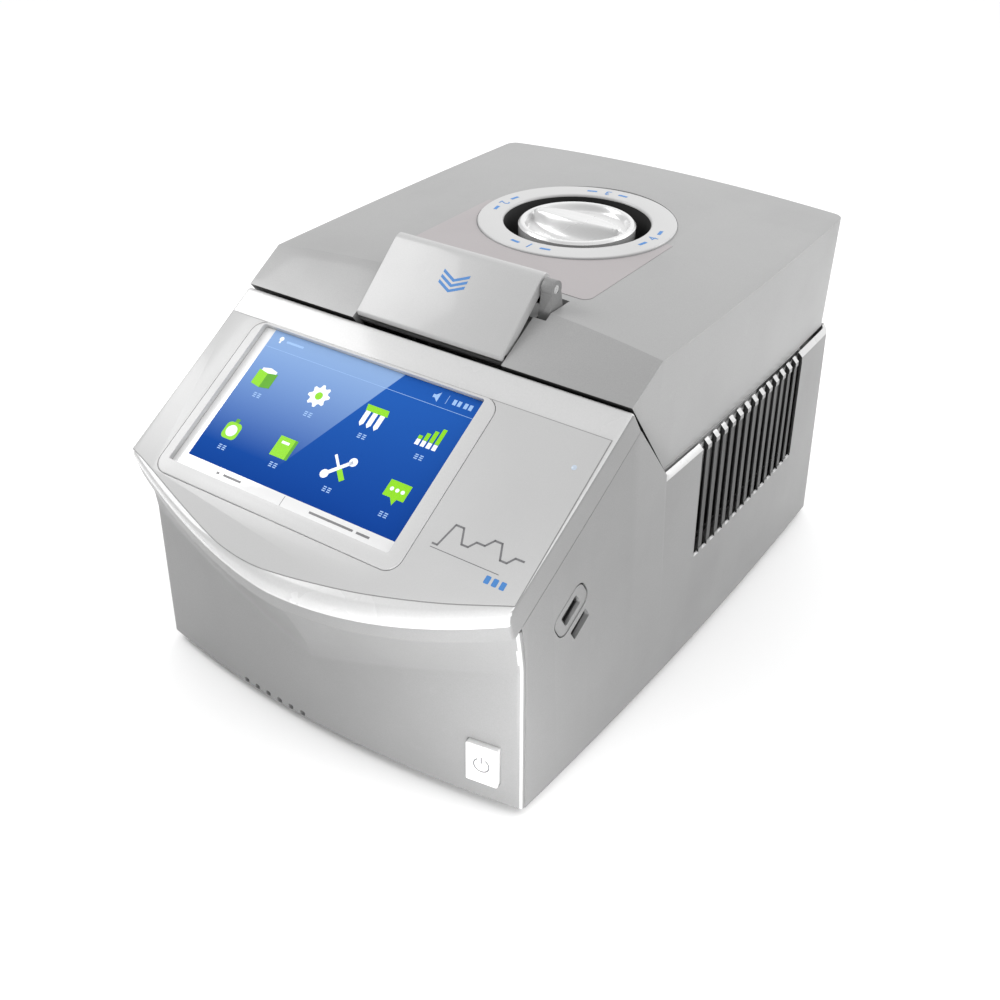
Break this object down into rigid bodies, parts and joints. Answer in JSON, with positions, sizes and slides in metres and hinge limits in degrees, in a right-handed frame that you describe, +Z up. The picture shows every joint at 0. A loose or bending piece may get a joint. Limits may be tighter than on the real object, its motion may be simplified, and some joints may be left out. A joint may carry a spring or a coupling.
{
  "type": "thermal cycler",
  "caption": "Bench-top thermal cycler: hinged heated lid with a pull flap and clamping knob over a well block, sloping touch screen, side grilles.",
  "frame": {"origin": "on the surface it stands on, under the middle of the whole object's box", "axes": "+Z up, -Y to the user at the touch screen, +X to the user's right"},
  "size_m": [0.2796, 0.4218, 0.2504],
  "materials": {
    "housing_silver": "satin silver-grey painted moulding",
    "lid_silver": "satin silver-grey painted moulding",
    "panel_white": "glossy off-white moulding",
    "film_silver": "printed silver overlay film",
    "bezel_white": "satin off-white moulding",
    "screen_glass": "lit touch screen behind glass",
    "grey_plastic": "grey moulding",
    "black_plastic": "black moulding",
    "flap_white": "satin off-white moulding",
    "knob_silver": "pearl silver moulding",
    "ring_white": "satin off-white ring",
    "film_mauve": "thin grey-mauve film",
    "block_alu": "machined and anodised aluminium",
    "sink_alu": "extruded aluminium",
    "steel": "zinc plated steel",
    "pin_steel": "ground steel",
    "rubber_black": "black rubber",
    "silicone_orange": "silicone seal",
    "peltier_white": "ceramic faced module",
    "insulation": "glass fibre pad",
    "board_green": "glass epoxy board",
    "parts_dark": "board components",
    "psu_zinc": "zinc coated steel case",
    "bush_bronze": "sintered bronze",
    "rocker_red": "red moulding",
    "button_white": "glossy off-white key"
  },
  "bodies": {
    "base": {"base_pan": "grey_plastic", "rubber_feet": "rubber_black", "main_housing": "housing_silver", "front_cover": "housing_silver", "control_panel": "panel_white", "panel_film": "film_silver", "display_bezel": "bezel_white", "touch_glass": "screen_glass", "lcd_module": "steel", "main_board": "board_green", "console_wall": "steel", "grille_baffles": "black_plastic", "usb_bezel": "bezel_white", "usb_ports": "steel", "block_deck": "bezel_white", "block_gasket": "silicone_orange", "sample_block": "block_alu", "peltier_modules": "peltier_white", "block_frame": "grey_plastic", "heat_sink": "sink_alu", "sink_posts": "steel", "fan_shroud": "steel", "fan_frames": "black_plastic", "power_supply": "psu_zinc", "driver_board": "board_green", "board_parts": "parts_dark", "rear_plate": "steel", "power_inlet": "black_plastic", "switch_housing": "black_plastic", "hinge_shelf": "steel", "hinge_brackets": "steel", "hinge_pins": "pin_steel", "hinge_springs": "steel", "striker_bar": "pin_steel", "button_guide": "grey_plastic", "button_spring": "steel", "housing_screws": "steel"},
    "lid": {"lid_shell": "lid_silver", "lid_liner": "bezel_white", "lid_arms": "steel", "lid_bridge": "steel", "knob_well": "ring_white", "spindle_bush": "bush_bronze", "lid_film": "film_mauve", "latch_bracket": "grey_plastic", "latch_pin": "pin_steel", "pawl_bracket": "steel"},
    "handle": {"latch_flap": "flap_white"},
    "pawl": {"latch_pawl": "steel"},
    "knob": {"knob": "knob_silver", "knob_spindle": "pin_steel"},
    "hot_plate": {"heated_plate": "block_alu", "plate_insulation": "insulation", "plate_carrier": "grey_plastic", "guide_rods": "pin_steel"},
    "button": {"power_button": "button_white"},
    "rocker_key": {"rocker": "rocker_red"},
    "fuse_tray": {"fuse_drawer": "black_plastic"},
    "fan_left": {"fan_rotor_left": "black_plastic"},
    "fan_right": {"fan_rotor_right": "black_plastic"}
  },
  "joints": [
    {"name": "lid_hinge", "type": "hinge", "parent": "base", "child": "lid", "pos_m": [0, 0.189, 0.172], "axis": [-1, 0, 0], "range_deg": [0, 75]},
    {"name": "handle_pull", "type": "hinge", "parent": "lid", "child": "handle", "pos_m": [0, -0.0325, 0.2435], "axis": [-1, 0, 0], "range_deg": [0, 15], "stiffness_Nm_per_rad": 0.6, "springref_deg": -8.59},
    {"name": "pawl_release", "type": "hinge", "parent": "lid", "child": "pawl", "pos_m": [0, -0.012, 0.176], "axis": [-1, 0, 0], "range_deg": [-12.5, 0]},
    {"name": "knob_turn", "type": "hinge", "parent": "lid", "child": "knob", "pos_m": [0, 0.0843, 0.21], "axis": [0, 0, -1], "range_deg": [0, 270]},
    {"name": "plate_slide", "type": "slide", "parent": "lid", "child": "hot_plate", "axis": [0, 0, -1], "range_m": [0, 0.0081]},
    {"name": "button_press", "type": "slide", "parent": "base", "child": "button", "axis": [-0.1632, 0.9866, 0], "range_m": [0, 0.002], "stiffness_N_per_m": 400, "springref_m": -0.001, "deforming": ["button_spring"]},
    {"name": "rocker_tilt", "type": "hinge", "parent": "base", "child": "rocker_key", "pos_m": [-0.042, 0.199, 0.042], "axis": [1, 0, 0], "range_deg": [-7, 7]},
    {"name": "fuse_slide", "type": "slide", "parent": "base", "child": "fuse_tray", "axis": [0, 1, 0], "range_m": [0, 0.012]},
    {"name": "fan_left_spin", "type": "hinge", "parent": "base", "child": "fan_left", "pos_m": [-0.042, 0.0843, 0.044], "axis": [0, 0, 1], "continuous": true},
    {"name": "fan_right_spin", "type": "hinge", "parent": "base", "child": "fan_right", "pos_m": [0.042, 0.0843, 0.044], "axis": [0, 0, 1], "continuous": true}
  ],
  "couplings": [
    {"joint": "pawl_release", "follows": "handle_pull", "ratio": -0.8},
    {"joint": "plate_slide", "follows": "knob_turn", "m_per_rad": 0.0016976}
  ]
}
